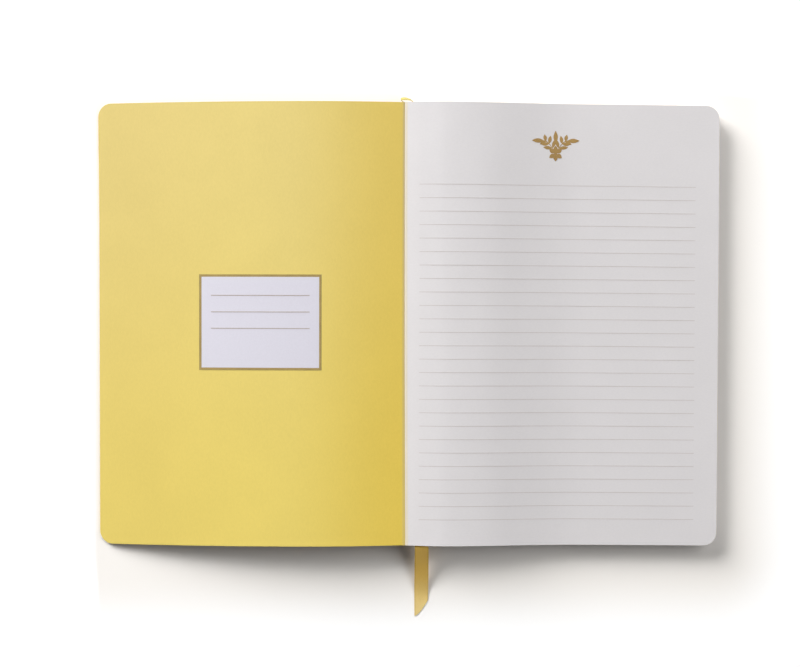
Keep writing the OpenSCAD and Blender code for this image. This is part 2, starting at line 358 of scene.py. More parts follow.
def endpaper_finish(name, c):
    """Dyed endpaper: yellow with faint fibres. On it is painted light: paler to the head as a painted sheen,
    deeper by the gutter and a little darker over its outer part as painted shade, and a grey strip of painted
    shade along the fold."""
    f = Finish(name)
    where = f.place()
    fibres = f.noise(f.stretched(where, (1.0, 0.45, 1.0), (0.0, 0.0, 0.6)), 1500.0, 4.0, 0.62, 0.4)
    clouds = f.noise(where, 38.0, 3.0, 0.55)
    tone = f.band(fibres, 0.34, 0.66) * 0.55 + f.band(clouds, 0.3, 0.7) * 0.45
    skin = f.blend(tone, shade(c.endpaper, 0.97), shade(c.endpaper, 1.02))
    spot = f.place("UV")
    out, up = f.part(spot, 0), f.part(spot, 1)
    # Painted sheen: paler and bluer towards the head
    skin = f.tint(f.band(up, -0.105, 0.105), skin, (0.931, 0.945, 1.36))
    # Painted shade: deeper yellow over the last 58 mm to the gutter
    skin = f.tint(f.band(out, 0.0, 0.058, 1.0, 0.0), skin, (1.0, 0.935, 0.64))
    # Painted shade: a little darker over the cover's outer part, from 70 mm out
    skin = f.tint(f.band(out, 0.07, 0.14), skin, (0.92, 0.91, 0.92))
    # Painted shadow: a grey strip within about 1 mm of the fold, in the groove at the seam
    skin = f.tint(f.band(out, 0.0008, 0.0014, 1.0, 0.0), skin, (0.80, 0.83, 1.5))
    f.bump(fibres, 0.00003, 0.35)
    return f.set(Base_Color=skin, Roughness=f.band(tone, 0.0, 1.0, 0.80, 0.72), Specular_IOR_Level=0.25)


def cover_finish(name, c):
    """Outside of the soft cover: fine pebbled grain, darker in its valleys as painted shade and paler on its
    ridges.
    """
    f = Finish(name)
    where = f.place()
    warp = f.noise(where, 260.0, 3.0, 0.6)
    pebbles = f.cells(f.stretched(where, (1.0, 0.82, 1.0), (0.0, 0.0, 0.35)), 780.0, "SMOOTH_F1")
    creases = f.band(f.cells(where, 520.0, "DISTANCE_TO_EDGE"), 0.0, 0.16)
    height = (1.0 - pebbles) * 0.55 + creases * 0.35 + warp * 0.25
    tone = f.band(height, 0.35, 0.95)
    patches = f.band(f.noise(where, 22.0, 4.0, 0.6), 0.3, 0.7)
    # Painted shade: the grain's valleys darker than its ridges
    skin = f.blend(tone, shade(c.cover, 0.84), f.blend(patches, shade(c.cover, 0.96), shade(c.cover, 1.07)))
    f.bump(height, 0.00014, 0.5)
    return f.set(Base_Color=skin, Roughness=f.band(tone, 0.0, 1.0, 0.80, 0.68), Specular_IOR_Level=0.2)


def leaf_finish(name, c):
    """Uncoated leaf: off-white with faint fibres and a dry surface, with painted light: a warm tinge at the fold
    as painted light thrown back from the yellow endpaper, and a little paler over its crest as a painted
    highlight."""
    f = Finish(name)
    where = f.place()
    fibres = f.noise(f.stretched(where, (0.5, 1.0, 1.0), (0.0, 0.0, 0.3)), 1700.0, 4.0, 0.65, 0.5)
    clouds = f.noise(where, 55.0, 3.0, 0.5)
    tone = f.band(fibres, 0.32, 0.68) * 0.6 + f.band(clouds, 0.3, 0.7) * 0.4
    skin = f.blend(tone, shade(c.leaf, 0.975), shade(c.leaf, 1.015))
    out = f.part(f.place("UV"), 0)
    # Painted light: warm light thrown back from the yellow endpaper, tinging the leaf by the fold
    skin = f.tint(f.band(out, -0.0003, 0.0018, 1.0, 0.0), skin, (0.98, 0.88, 0.60))
    # Painted highlight: a little paler over the crest, which faces the light
    crest = f.band(out, 0.008, 0.018) * f.band(out, 0.034, 0.050, 1.0, 0.0)
    skin = f.tint(crest, skin, (1.045, 1.045, 1.045))
    f.bump(fibres, 0.00002, 0.3)
    return f.set(Base_Color=skin, Roughness=f.band(tone, 0.0, 1.0, 0.88, 0.8), Specular_IOR_Level=0.3)


def edge_finish(name, c):
    """Cut edges of the leaves: UV v counts leaves, each a little paler or darker, with painted shade in the gaps
    between.
    """
    f = Finish(name)
    spot = f.place("UV")
    along, leaf = f.part(spot, 0), f.part(spot, 1)
    each = f.node("ShaderNodeTexWhiteNoise", {"noise_dimensions": "1D"}, {"W": leaf.whole() + 0.5})
    gap = f.band((leaf.rest() - 0.5).size(), 0.36, 0.5)
    spread = f.node("ShaderNodeCombineXYZ", inputs={"X": along * 0.25, "Y": leaf * 0.02})
    streak = f.noise(spread, 600.0, 3.0, 0.6)
    pale = f.blend(each, shade(c.leaf, 0.90), shade(c.leaf, 1.0))
    # Painted shade: the gaps between the leaves darkened, by amounts that vary in streaks
    skin = f.blend(gap * f.band(streak, 0.25, 0.7, 0.35, 0.85), pale, shade(c.leaf, 0.55))
    f.bump(1.0 - gap, 0.00008, 0.5)
    return f.set(Base_Color=skin, Roughness=0.88, Specular_IOR_Level=0.25)


def ribbon_finish(name, c, half):
    """Satin ribbon: fine slanting floats of silk, a tighter selvage down both edges, darker and deeper yellow
    over the head as painted shade, and paler towards its cut end as a painted sheen. UV is in metres, along the
    ribbon and across it from its middle."""
    f = Finish(name)
    spot = f.place("UV")
    along, across = f.part(spot, 0), f.part(spot, 1)
    edge = f.band(across.size(), half - 0.0006, half - 0.00025)
    floats = f.wave(along + (across + half) * 0.55, 0.00042)
    picks = f.wave(along, 0.00030) * f.wave(across + half, 0.00034)
    shifted = f.node("ShaderNodeVectorMath", {"operation": "ADD"}, {0: spot, 1: (0.0, half, 0.0)})
    uneven = f.noise(f.stretched(shifted, (1.0, 6.0, 1.0)), 420.0, 3.0, 0.6)
    thread = floats * 0.6 + picks * 0.4
    tone = (thread * 0.55 + uneven * 0.45) * (1.0 - edge * 0.55)
    silk = f.blend(f.band(tone, 0.15, 0.8), shade(c.ribbon, 0.88), shade(c.ribbon, 1.05))
    skin = f.blend(edge * 0.6, silk, shade(c.ribbon, 0.66))
    y = f.part(f.place(), 1)
    # Painted sheen: the tail paler and whiter towards its cut end
    skin = f.tint(f.band(y, BLOCK[0][1] - 0.036, BLOCK[0][1] - 0.010, 1.0, 0.0), skin, (1.0, 1.2, 2.4))
    # Painted shade: the loop over the head darker and deeper yellow
    skin = f.tint(f.band(y, BLOCK[1][1], BLOCK[1][1] + 0.0008), skin, (0.55, 0.70, 0.12))
    f.bump(thread * (1.0 - edge) + edge * 0.9, 0.00004, 0.55)
    f.set(Subsurface_Weight=0.12, Subsurface_Radius=(1.0, 0.85, 0.45), Subsurface_Scale=0.0008)
    f.set(Sheen_Weight=0.08, Specular_IOR_Level=0.3)
    return f.set(Base_Color=skin, Roughness=f.band(tone, 0.1, 0.8, 0.46, 0.34))


def gold_finish(name, base):
    """Gold ink: a flat brownish gold that breaks up a little where the paper's tooth shows through."""
    f = Finish(name)
    where = f.place()
    tooth = f.noise(where, 2600.0, 3.0, 0.6)
    flow = f.band(f.noise(where, 180.0, 3.0, 0.5), 0.3, 0.7)
    skin = f.blend(f.band(tooth, 0.3, 0.7) * 0.6 + flow * 0.4, shade(base, 0.82), shade(base, 1.16))
    f.bump(tooth, 0.00002, 0.3)
    f.set(Specular_IOR_Level=0.35, Metallic=0.15)
    return f.set(Base_Color=skin, Roughness=f.band(tooth, 0.3, 0.7, 0.62, 0.50))


def plate_finish(name, c):
    """Bookplate field: a cooler, smoother printed white."""
    f = Finish(name)
    fibres = f.noise(f.place(), 1300.0, 3.0, 0.6, 0.3)
    skin = f.blend(f.band(fibres, 0.3, 0.7), shade(c.plate, 0.985), shade(c.plate, 1.012))
    f.bump(fibres, 0.000015, 0.25)
    return f.set(Base_Color=skin, Roughness=f.band(fibres, 0.3, 0.7, 0.80, 0.72), Specular_IOR_Level=0.25)


def rule_finish(name, c, amount):
    """Printed rule: thin warm grey ink of a strength up to 1, broken a little by the tooth of the paper."""
    f = Finish(name)
    tooth = f.band(f.noise(f.place(), 3200.0, 2.0, 0.6), 0.32, 0.62)
    base = tuple(c.leaf[i] + (c.rule[i] - c.leaf[i]) * amount for i in range(3))
    paler = tuple(c.leaf[i] + (base[i] - c.leaf[i]) * 0.72 for i in range(3))
    f.set(Roughness=f.band(tooth, 0.0, 1.0, 0.85, 0.78), Specular_IOR_Level=0.3)
    return f.set(Base_Color=f.blend(tooth, paler, base))


def lining_finish(name, c):
    """Spine lining: open gauze set in dried glue."""
    f = Finish(name)
    where = f.place()
    y, z = f.part(where, 1), f.part(where, 2)
    turn = 2 * math.pi / 0.0011
    blot = f.noise(where, 240.0, 4.0, 0.6)
    threads = f.band((y * turn).sine().size().most((z * turn).sine().size()), 0.75, 0.98)
    skin = f.blend(threads, f.blend(blot, shade(c.lining, 0.82), shade(c.lining, 0.98)), shade(c.lining, 1.2))
    f.bump(threads * 0.8 + blot * 0.3, 0.0001, 0.6)
    return f.set(Base_Color=skin, Roughness=f.band(blot, 0.3, 0.7, 0.75, 0.55))


# ---- surfaces


def new_piece(name, points, faces, material, uv=None, crease=35.0):
    """Makes a mesh object from points in millimetres, its faces outwards and smooth up to a crease angle."""
    mesh = bpy.data.meshes.new(name)
    place = np.asarray(points, float).copy()
    place[:, 0] += GUTTER_X
    mesh.from_pydata((place * MM).tolist(), [], faces.tolist() if isinstance(faces, np.ndarray) else faces)
    if uv is not None:
        loops = np.empty(len(mesh.loops), dtype=np.int32)
        mesh.loops.foreach_get("vertex_index", loops)
        mesh.uv_layers.new(name="UVMap").data.foreach_set("uv", np.asarray(uv, np.float32)[loops].ravel())
    work = bmesh.new()
    work.from_mesh(mesh)
    bmesh.ops.recalc_face_normals(work, faces=work.faces)
    work.to_mesh(mesh)
    work.free()
    mesh.polygons.foreach_set("use_smooth", np.ones(len(mesh.polygons), dtype=bool))
    mesh.set_sharp_from_angle(angle=math.radians(crease))
    mesh.materials.append(material)
    obj = bpy.data.objects.new(name, mesh)
    bpy.context.scene.collection.objects.link(obj)
    return obj


def smooth(share):
    """Smooth step of a share from 0 to 1."""
    return share * share * (3 - 2 * share)


def grid_faces(index):
    """Quads between the neighbours of a grid of vertex numbers."""
    a, b, c, d = index[:-1, :-1], index[1:, :-1], index[1:, 1:], index[:-1, 1:]
    return np.stack([a, b, c, d], -1).reshape(-1, 4)


def rim_of(index):
    """The vertex numbers round the border of a grid, once round and closed."""
    return np.concatenate([index[0, :], index[1:, -1], index[-1, -2::-1], index[-2:0:-1, 0], index[0, :1]])


def shell(name, middle, across, thick, material, uv, crease=35.0):
    """A sheet of even thickness: a grid of middle points moved half the thickness each way along unit vectors,
    and joined round the rim."""
    rows, cols = middle.shape[:2]
    top, low = middle + across * thick / 2, middle - across * thick / 2
    index = np.arange(rows * cols).reshape(rows, cols)
    lower = index + rows * cols
    ring, under = rim_of(index), rim_of(lower)
    rim = np.stack([ring[:-1], ring[1:], under[1:], under[:-1]], -1)
    faces = np.concatenate([grid_faces(index), grid_faces(lower)[:, ::-1], rim])
    points = np.concatenate([top.reshape(-1, 3), low.reshape(-1, 3)])
    return new_piece(name, points, faces, material, np.concatenate([uv.reshape(-1, 2)] * 2), crease)


def soften(obj, width):
    """Rounds the sharp rim of a sheet."""
    m = obj.modifiers.new("rounded_rim", "BEVEL")
    m.width = width
    m.segments = 2
    m.limit_method = "ANGLE"
    m.angle_limit = math.radians(50)


def rows_with_corners(height, radius, straight=24, arc=9):
    """Y of each row of a sheet with two rounded corners, and how far that row stops short: at an angle a along
    the corner, the row stands radius * sin(a) beyond the arc's centre and stops radius * (1 - cos(a)) short."""
    a = np.linspace(0, np.pi / 2, arc)
    y = height / 2 - radius + radius * np.sin(a)
    short = radius * (1 - np.cos(a))
    middle = np.linspace(-y[0], y[0], straight)[1:-1]
    return np.concatenate([-y[::-1], middle, y]), np.concatenate([short[::-1], middle * 0, short])


def along_line(line, at):
    """Points and left-hand unit normals of a polyline in X and Z at distances along it."""
    step = np.linalg.norm(np.diff(line, axis=0), axis=1)
    run = np.concatenate([[0], np.cumsum(step)])
    slope = np.gradient(line, run, axis=0)
    slope /= np.linalg.norm(slope, axis=1)[:, None]
    point = np.stack([np.interp(at, run, line[:, k]) for k in (0, 1)], -1)
    way = np.stack([np.interp(at, run, slope[:, k]) for k in (0, 1)], -1)
    way /= np.linalg.norm(way, axis=-1, keepdims=True)
    return point, np.stack([-way[..., 1], way[..., 0]], -1), run[-1]


def askew(points, s):
    """Both open halves lie a little askew: their outer parts drift towards the foot, the left one with the
    distance from the gutter and the right one with its square, and the left edge draws in below the head."""
    x, y = points[..., 0], points[..., 1]
    left, right = np.clip(-x / s.cover_reach, 0, 1), np.clip(x / s.back_reach, 0, 1)
    down = s.drift_left * left + s.drift_right * right**2
    inward = s.draw_in * left * smooth(np.clip((s.book_h / 2 - y) / 60, 0, 1))
    return points + np.stack([inward, -down, 0 * x], -1)


def board(name, line, thick, sizes, material, columns, shape=None):
    """A sheet that follows a line in X and Z and runs the height of the book, with its two far corners rounded.
    columns are shares of the line's length; shape moves the points of the sheet's middle surface."""
    y, short = rows_with_corners(sizes.book_h, sizes.corner_r)
    total = along_line(line, np.array([0.0]))[2]
    at = columns[None, :] * (total - short[:, None])
    point, normal, _ = along_line(line, at)
    middle = np.stack([point[..., 0], np.broadcast_to(y[:, None], at.shape), point[..., 1]], -1)
    across = np.stack([normal[..., 0], np.zeros(at.shape), normal[..., 1]], -1)
    middle = askew(middle if shape is None else shape(middle), sizes)
    uv = np.stack([at * MM, np.broadcast_to(y[:, None] * MM, at.shape)], -1)
    return shell(name, middle, across, thick, material, uv)


def dense_start(number, ease):
    """Shares from 0 to 1, closer together at the start."""
    return np.linspace(0, 1, number) ** ease


def leaf_curve(x, s):
    """Height of the first leaf: a quarter sine from the gutter to its crest, then half a cosine down to the
    fore-edge height."""
    x = np.asarray(x, float)
    rise = s.gutter_z + (s.crest_z - s.gutter_z) * np.sin(np.pi / 2 * np.clip(x / s.crest_x, 0, 1))
    share = np.clip((x - s.crest_x) / (s.settle_x - s.crest_x), 0, 1)
    return np.where(x < s.crest_x, rise, s.fore_z + (s.crest_z - s.fore_z) * (1 + np.cos(np.pi * share)) / 2)


def cover_curve(u, s):
    """Height of the open cover's inner face: a quarter sine up to its crest, then a power curve to the table."""
    u = np.asarray(u, float)
    edge = s.cover_t + s.endpaper_t
    crest = s.cover_crest_z
    rise = s.gutter_z + (crest - s.gutter_z) * np.sin(np.pi / 2 * np.clip(u / s.cover_crest_x, 0, 1))
    share = np.clip((u - s.cover_crest_x) / (s.cover_reach - s.cover_crest_x), 0, 1)
    return np.where(u < s.cover_crest_x, rise, crest - (crest - edge) * share**s.cover_bend)


def curl(first, hinge, last, number):
    """Points of a quadratic curve that leaves first towards hinge and reaches last from it."""
    t = np.linspace(0, 1, number)[:, None]
    return (1 - t) ** 2 * np.array(first) + 2 * t * (1 - t) * np.array(hinge) + t**2 * np.array(last)


def front_line(s, depth, start):
    """The open cover's run to its outer edge, at a depth below its inner face, from a distance outwards."""
    u = np.concatenate([np.linspace(start, 40, 40), np.linspace(41, s.cover_reach, 70)])
    return np.stack([-u, cover_curve(u, s) - depth], -1)


def back_line(s, start, z):
    """A level run from a distance to the back's reach, at a height."""
    x = np.concatenate([np.linspace(start, 6, 30), np.linspace(7, s.back_reach, 60)])
    return np.stack([x, x * 0 + z], -1)


def seam_at(y, s):
    """Where the endpaper meets the first leaf. The seam strays from the gutter line by 0.45 mm at the head and
    1.25 mm at the foot."""
    share = y / (s.book_h / 2)
    return 0.55 - 0.4 * share + 0.3 * share**2


def bend(obj):
    """Bakes a piece's placing into its mesh."""
    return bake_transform(obj)


def book():
    """The journal's sizes by name, with lengths in millimetres, and its colours."""
    scene = bpy.context.scene
    sizes = {}
    for name in JournalSizes.__annotations__:
        value = getattr(scene.journal_sizes, name)
        is_length = scene.journal_sizes.bl_rna.properties[name].unit == "LENGTH"
        sizes[name] = value / MM if is_length else value
    return SimpleNamespace(**sizes), scene.journal_colours


def finish_of(name, maker, *facts):
    """A material by name, made the first time it is asked for."""
    return bpy.data.materials.get(name) or maker(name, *facts)


def block_shell(name, s, low, high, leaves, reach, seed, material):
    """A stack of leaves as one closed surface. Its plan is a grid with rounded outer corners; its wall goes round
    the rim of that plan and up through the leaves, and dips in by a random amount at each gap between two leaves.
    low and high give the height of the stack's underside and top at x and y."""
    y, short = rows_with_corners(s.book_h, s.corner_r, 26, 8)
    stretches = (np.linspace(0, 0.15, 12)[:-1], np.linspace(0.15, 0.6, 26)[:-1], np.linspace(0.6, 1, 12))
    columns = np.concatenate(stretches)
    plan_x = columns[None, :] * (reach - short[:, None])
    plan_y = np.broadcast_to(y[:, None], plan_x.shape)
    index = np.arange(plan_x.size).reshape(plan_x.shape)
    ring = rim_of(index)[:-1]
    rx, ry = plan_x.ravel()[ring], plan_y.ravel()[ring]
    # Outward direction of the rim: away from the spine round the corners, and none along the spine
    out_x = np.clip((rx - (reach - s.corner_r)) / s.corner_r, 0, 1)
    out_y = np.clip((np.abs(ry) - (s.book_h / 2 - s.corner_r)) / s.corner_r, 0, 1) * np.sign(ry)
    far = np.maximum(np.hypot(out_x, out_y), 1e-6)
    out_x, out_y = out_x / far, out_y / far
    # The glued side stays flat: the leaves' edges are free from 3 mm beyond it
    free = np.clip(rx / 3.0, 0, 1)
    turn = np.arctan2(ry, rx - reach / 2)
    # How far each leaf stands back, how far askew it lies, and how deep the gap below it is
    rng = np.random.default_rng(seed)
    shift = np.abs(rng.normal(0, 0.045, leaves + 1))
    sway = rng.normal(0, 0.03, (leaves + 1, 2))[:, 0]
    dips = rng.uniform(0.05, 0.14, leaves + 1)
    # Three rings to a leaf: in the gap below it, and near its lower and its upper face
    steps = [(leaf, share) for leaf in range(leaves) for share in (0.0, 0.2, 0.8)][1:]
    levels = []
    for leaf, share in steps:
        v = (leaf + share) / leaves
        dip = 0.02 if share else dips[leaf]
        inward = dip + shift[leaf] + np.abs(sway[leaf] * np.sin(2 * turn + leaf))
        px = rx - out_x * inward * free
        py = ry - out_y * inward * free
        z = low(px, py) + v * (high(px, py) - low(px, py))
        levels.append(askew(np.stack([px, py, z], -1), s))
    bottom = askew(np.stack([plan_x, plan_y, low(plan_x, plan_y)], -1), s).reshape(-1, 3)
    top = askew(np.stack([plan_x, plan_y, high(plan_x, plan_y)], -1), s).reshape(-1, 3)
    n, m = index.size, len(ring)
    rings = [ring] + [2 * n + k * m + np.arange(m) for k in range(len(levels))] + [ring + n]
    sides = [np.stack([a, np.roll(a, -1), np.roll(b, -1), b], -1) for a, b in zip(rings[:-1], rings[1:])]
    faces = np.concatenate([grid_faces(index)[:, ::-1], grid_faces(index + n), *sides])
    round_rim = np.concatenate([[0], np.cumsum(np.hypot(np.diff(rx), np.diff(ry)))]) * MM
    flat = np.stack([plan_x.ravel() * MM, np.full(n, 0.5)], -1)
    wall_uv = [np.stack([round_rim, np.full(m, leaf + share)], -1) for leaf, share in steps]
    uv = np.concatenate([flat, flat + [0, leaves - 1], *wall_uv])
    return new_piece(name, np.concatenate([bottom, top, *levels]), faces, material, uv, 40.0)


# ---- the ribbon's route, the same as the solid's


def unit(v):
    """Vectors of length 1."""
    return v / np.linalg.norm(v, axis=-1, keepdims=True)


def leaf_slope(x, s):
    """Slope of the first leaf as an angle, taken over the ribbon's width or so."""
    return math.atan2(float(leaf_curve(x + 3, s) - leaf_curve(x - 3, s)), 6.0)


def tail_drop(d, s):
    """Share of the way down to the table at a distance beyond the foot: a short bend over the leaves' edge, a
    quick drop beside them, then easing out."""
    soft = s.tail_bend
    past, end = np.hypot(d, soft) - soft, math.hypot(s.tail_fall, soft) - soft
    return 1 - (1 - np.minimum(1, past / end)) ** s.tail_ease


def ribbon_route(s):
    """Middle points of the ribbon, the unit vectors across it, how many of the points are glued down and how many
    form the tail. It runs up the spine on edge, over the head in an arch still on edge, in between the leaves
    while it turns flat just under the first of them, straight on to the foot and down to the table."""
    half = s.book_h / 2
    spine_x = -(s.lining_t - s.ribbon_t / 2 - 0.025)
    head_z = float(leaf_curve(s.ribbon_head_x, s)) - s.ribbon_depth
    foot_z = float(leaf_curve(s.ribbon_foot_x, s)) - s.ribbon_depth
    head_turn, foot_turn = leaf_slope(s.ribbon_head_x, s), leaf_slope(s.ribbon_foot_x, s)
    slip, hidden = 16.0, 0.4  # how far in it has turned flat, and how deep its upper edge hides
    q = np.linspace(0, 1, 40)
    tip = (np.pi / 2 + head_turn) * smooth(q)
    reach = s.ribbon_w / 2
    cover_z = leaf_curve(s.ribbon_head_x - reach * np.sin(tip), s) - reach * np.cos(tip)
    entry_z = cover_z - hidden - (cover_z[-1] - hidden - head_z) * smooth(q)
    entry = np.stack([s.ribbon_head_x + 0 * q, half - slip * q, entry_z], -1)
    entry_over = np.stack([-np.sin(tip), 0 * tip, np.cos(tip)], -1)
    glued_y = np.linspace(half - s.ribbon_glued, half, 20)
    glued = np.stack([glued_y * 0 + spine_x, glued_y, glued_y * 0 + s.ribbon_spine_z], -1)
    up = np.broadcast_to([0.0, 0.0, 1.0], glued.shape)
    t = np.linspace(0, 1, 42)[1:-1]
    arch = np.sin(np.pi * t)
    loop_x = spine_x + (s.ribbon_head_x - spine_x) * (1 - np.cos(np.pi * t)) / 2
    loop_x -= s.loop_bulge * arch**2 * (1 - t)
    loop_z = s.ribbon_spine_z + (entry[0, 2] - s.ribbon_spine_z) * smooth(t)
    loop = np.stack([loop_x, half + s.loop_h * arch**0.8, loop_z], -1)
    lean = s.loop_lean * arch**0.8
    over = np.stack([0 * t, -np.sin(lean), np.cos(lean)], -1)
    q = np.linspace(0, 1, 100)[1:]
    share = (slip + (s.book_h - slip) * q) / s.book_h
    run_x = s.ribbon_head_x + (s.ribbon_foot_x - s.ribbon_head_x) * smooth(q)
    run = np.stack([run_x, half - s.book_h * share, head_z + (foot_z - head_z) * smooth(q)], -1)
    a = head_turn + (foot_turn - head_turn) * smooth(q)
    flat = -np.stack([np.cos(a), 0 * a, np.sin(a)], -1)
    d = np.linspace(0, s.tail_l - s.tail_cut / 2, 60)[1:]
    drop = tail_drop(d, s)
    tail_x = s.ribbon_foot_x + s.tail_drift * d / s.tail_l
    tail = np.stack([tail_x, -half - d, foot_z + (s.ribbon_t / 2 - foot_z) * drop], -1)
    a = foot_turn * (1 - drop)
    end = -np.stack([np.cos(a), 0 * a, np.sin(a)], -1)
    middle = np.concatenate([glued, loop, entry, run, tail])
    return middle, np.concatenate([up, over, entry_over, flat, end]), len(glued), len(tail)


# ---- operators


class JOURNAL_OT_stage(bpy.types.Operator):
    """Lays the table, the lights and the camera"""

    bl_idname = "journal.stage"
    bl_label = "Stage"

    def execute(self, context):
        scene = context.scene
        scene.view_settings.view_transform = "Standard"
        mesh = bpy.data.meshes.new("table_top")
        corners = [(x * TABLE_HALF, y * TABLE_HALF, 0) for x, y in ((-1, -1), (1, -1), (1, 1), (-1, 1))]
        mesh.from_pydata(corners, [], [(0, 1, 2, 3)])
        floor = bpy.data.objects.new("table_top", mesh)
        scene.collection.objects.link(floor)
        f = Finish("table_white")
        where = f.place()
        # How far a point lies outside the book's box, and how far towards the left and the head
        x = (f.part(where, 0).size() - CAD_BOX[1][0]).most(0.0)
        y = (f.part(where, 1).size() - CAD_BOX[1][1]).most(0.0)
        lit_x = (f.part(where, 0) * -1.0 - CAD_BOX[1][0]).most(0.0)
        lit_y = (f.part(where, 1) - CAD_BOX[1][1]).most(0.0)
        distance = (x * x + y * y) ** 0.5
        opening = distance + (lit_x + lit_y) * LIT_SIDE
        plain, near, clear = (f.node("ShaderNodeBsdfDiffuse", inputs={"Color": (*white, 1.0)})
                              for white in (TABLE_WHITE, FLOOR_NEAR, FLOOR_OPEN))
        glow = f.node("ShaderNodeEmission", inputs={"Color": (1.0, 1.0, 1.0, 1.0)})
        # Painted shade: the table dimmer and warmer beside the book, on its shadow side
        bright = f.mix(f.band(opening, *NEAR_TO_OPEN), near, clear)
        both = f.mix(f.seen(), plain, f.mix(f.band(distance, *OPEN_TO_WHITE), bright, glow))
        f.tree.links.new(both.socket, f.tree.nodes["Material Output"].inputs["Surface"])
        mesh.materials.append(f.material)

        world = bpy.data.worlds.new("studio")
        scene.world = world
        w = Finish("studio", world)
        dim = w.node("ShaderNodeBackground", inputs={"Strength": 0.0})
        white = w.node("ShaderNodeBackground", inputs={"Color": (1.0, 1.0, 1.0, 1.0)})
        around = w.mix(w.seen(), dim, white)
        w.tree.links.new(around.socket, w.tree.nodes["World Output"].inputs["Surface"])

        for name, azimuth, elevation, away, side, watts in LIGHTS:
            lamp = bpy.data.lights.new(name, "AREA")
            lamp.size = side
            lamp.energy = watts
            obj = bpy.data.objects.new(name, lamp)
            a, e = math.radians(azimuth), math.radians(elevation)
            way = Vector((math.cos(a) * math.cos(e), math.sin(a) * math.cos(e), math.sin(e)))
            obj.location = way * away
            obj.rotation_euler = (-way).to_track_quat("-Z", "Y").to_euler()
            obj.visible_camera = False
            scene.collection.objects.link(obj)

        camera = bpy.data.cameras.new("camera")
        camera.lens = CAMERA_FOCAL_PX / PHOTO_W * camera.sensor_width
        eye = bpy.data.objects.new("camera", camera)
        pitch, roll, yaw = (math.radians(a) for a in CAMERA_TILT)
        turn = Matrix.Rotation(yaw, 3, "Z") @ Matrix.Rotation(roll, 3, "Y") @ Matrix.Rotation(pitch, 3, "X")
        x, y, z = CAMERA_AT
        at = Vector((x + GUTTER_X, y, z)) * MM
        eye.matrix_world = Matrix.Translation(at) @ turn.transposed().to_4x4()
        scene.collection.objects.link(eye)
        scene.camera = eye
        return {"FINISHED"}


class JOURNAL_OT_ribbon(bpy.types.Operator):
    """Makes the ribbon marker, from the spine over the head, between the leaves and out at the foot"""

    bl_idname = "journal.ribbon"
    bl_label = "Ribbon marker"

    def execute(self, context):
        s, c = book()
        middle, across, glued, tail = ribbon_route(s)
        place = np.linspace(-0.5, 0.5, 11)
        grid = middle[:, None, :] + across[:, None, :] * (place * s.ribbon_w)[None, :, None]
        # The cut: column by column the tail runs on further, the most on the side away from the fore-edge
        share = 0.5 - place
        reach = s.tail_l - s.tail_cut * share**1.6
        d = np.linspace(0, 1, tail + 1)[1:, None] * reach[None, :]
        half = s.book_h / 2
        drop = tail_drop(d, s)
        foot_z = middle[-tail - 1, 2]
        turn = leaf_slope(s.ribbon_foot_x, s) * (1 - drop)
        widening = 0.055  # how much wider than the rest the tail's end is, as a share
        side = place[None, :] * s.ribbon_w * (1 + widening * d / s.tail_l)
        flare = s.tail_flare * share[None, :] * (d / s.tail_l) ** 4
        grid[-tail:, :, 0] = s.ribbon_foot_x + s.tail_drift * d / s.tail_l - side * np.cos(turn) - flare
        grid[-tail:, :, 1] = -half - d
        grid[-tail:, :, 2] = foot_z + (s.ribbon_t / 2 - foot_z) * drop - side * np.sin(turn)
        along = unit(np.gradient(grid, axis=0))
        face = unit(np.cross(along, np.broadcast_to(across[:, None, :], grid.shape)))
        run = np.concatenate([[0], np.cumsum(np.linalg.norm(np.diff(middle, axis=0), axis=1))])
        uv = np.stack(np.broadcast_arrays(run[:, None], place[None, :] * s.ribbon_w), -1) * MM
        satin = finish_of("ribbon_satin", ribbon_finish, c, s.ribbon_w * MM / 2)
        ribbon = shell("ribbon", grid, face, s.ribbon_t, satin, uv, 50.0)
        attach(ribbon, "leaves")
        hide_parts("ribbon_marker")
        path = middle * MM
        path[:, 0] += GUTTER_X * MM
        return {"FINISHED"}


class JOURNAL_OT_cover(bpy.types.Operator):
    """Makes the wrapped soft cover: the front with the spine, and the back"""

    bl_idname = "journal.cover"
    bl_label = "Soft cover"

    def execute(self, context):
        s, c = book()
        grain = finish_of("cover_grain", cover_finish, c)
        mid = s.cover_t / 2
        # The spine stands outside the lining. It turns up from the table with a radius, stays upright to a height
        # and then leans over into the open cover, which starts a little way from the gutter line.
        spine_x = -(s.lining_t + mid)
        turn_r, upright_z, start = 0.55, 7.1, 3.0
        foot = curl((spine_x + turn_r, mid), (spine_x, mid), (spine_x, mid + turn_r), 8)
        depth = s.endpaper_t + mid
        top = (-start, float(cover_curve(start, s)) - depth)
        shoulder = curl((spine_x, upright_z), (spine_x, top[1] - 0.18), top, 18)
        line = np.concatenate([foot, shoulder, front_line(s, depth, start)[1:]])
        front = board("cover_front", line, s.cover_t, s, grain, dense_start(150, 1.9))
        bend(front)
        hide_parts("front_cover", "cover_spine")
        line = back_line(s, spine_x + turn_r, mid)
        back = board("cover_back", line, s.cover_t, s, grain, dense_start(110, 1.9))
        bend(back)
        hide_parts("back_cover")
        for piece in (front, back):
            soften(piece, 0.16 * MM)
        return {"FINISHED"}


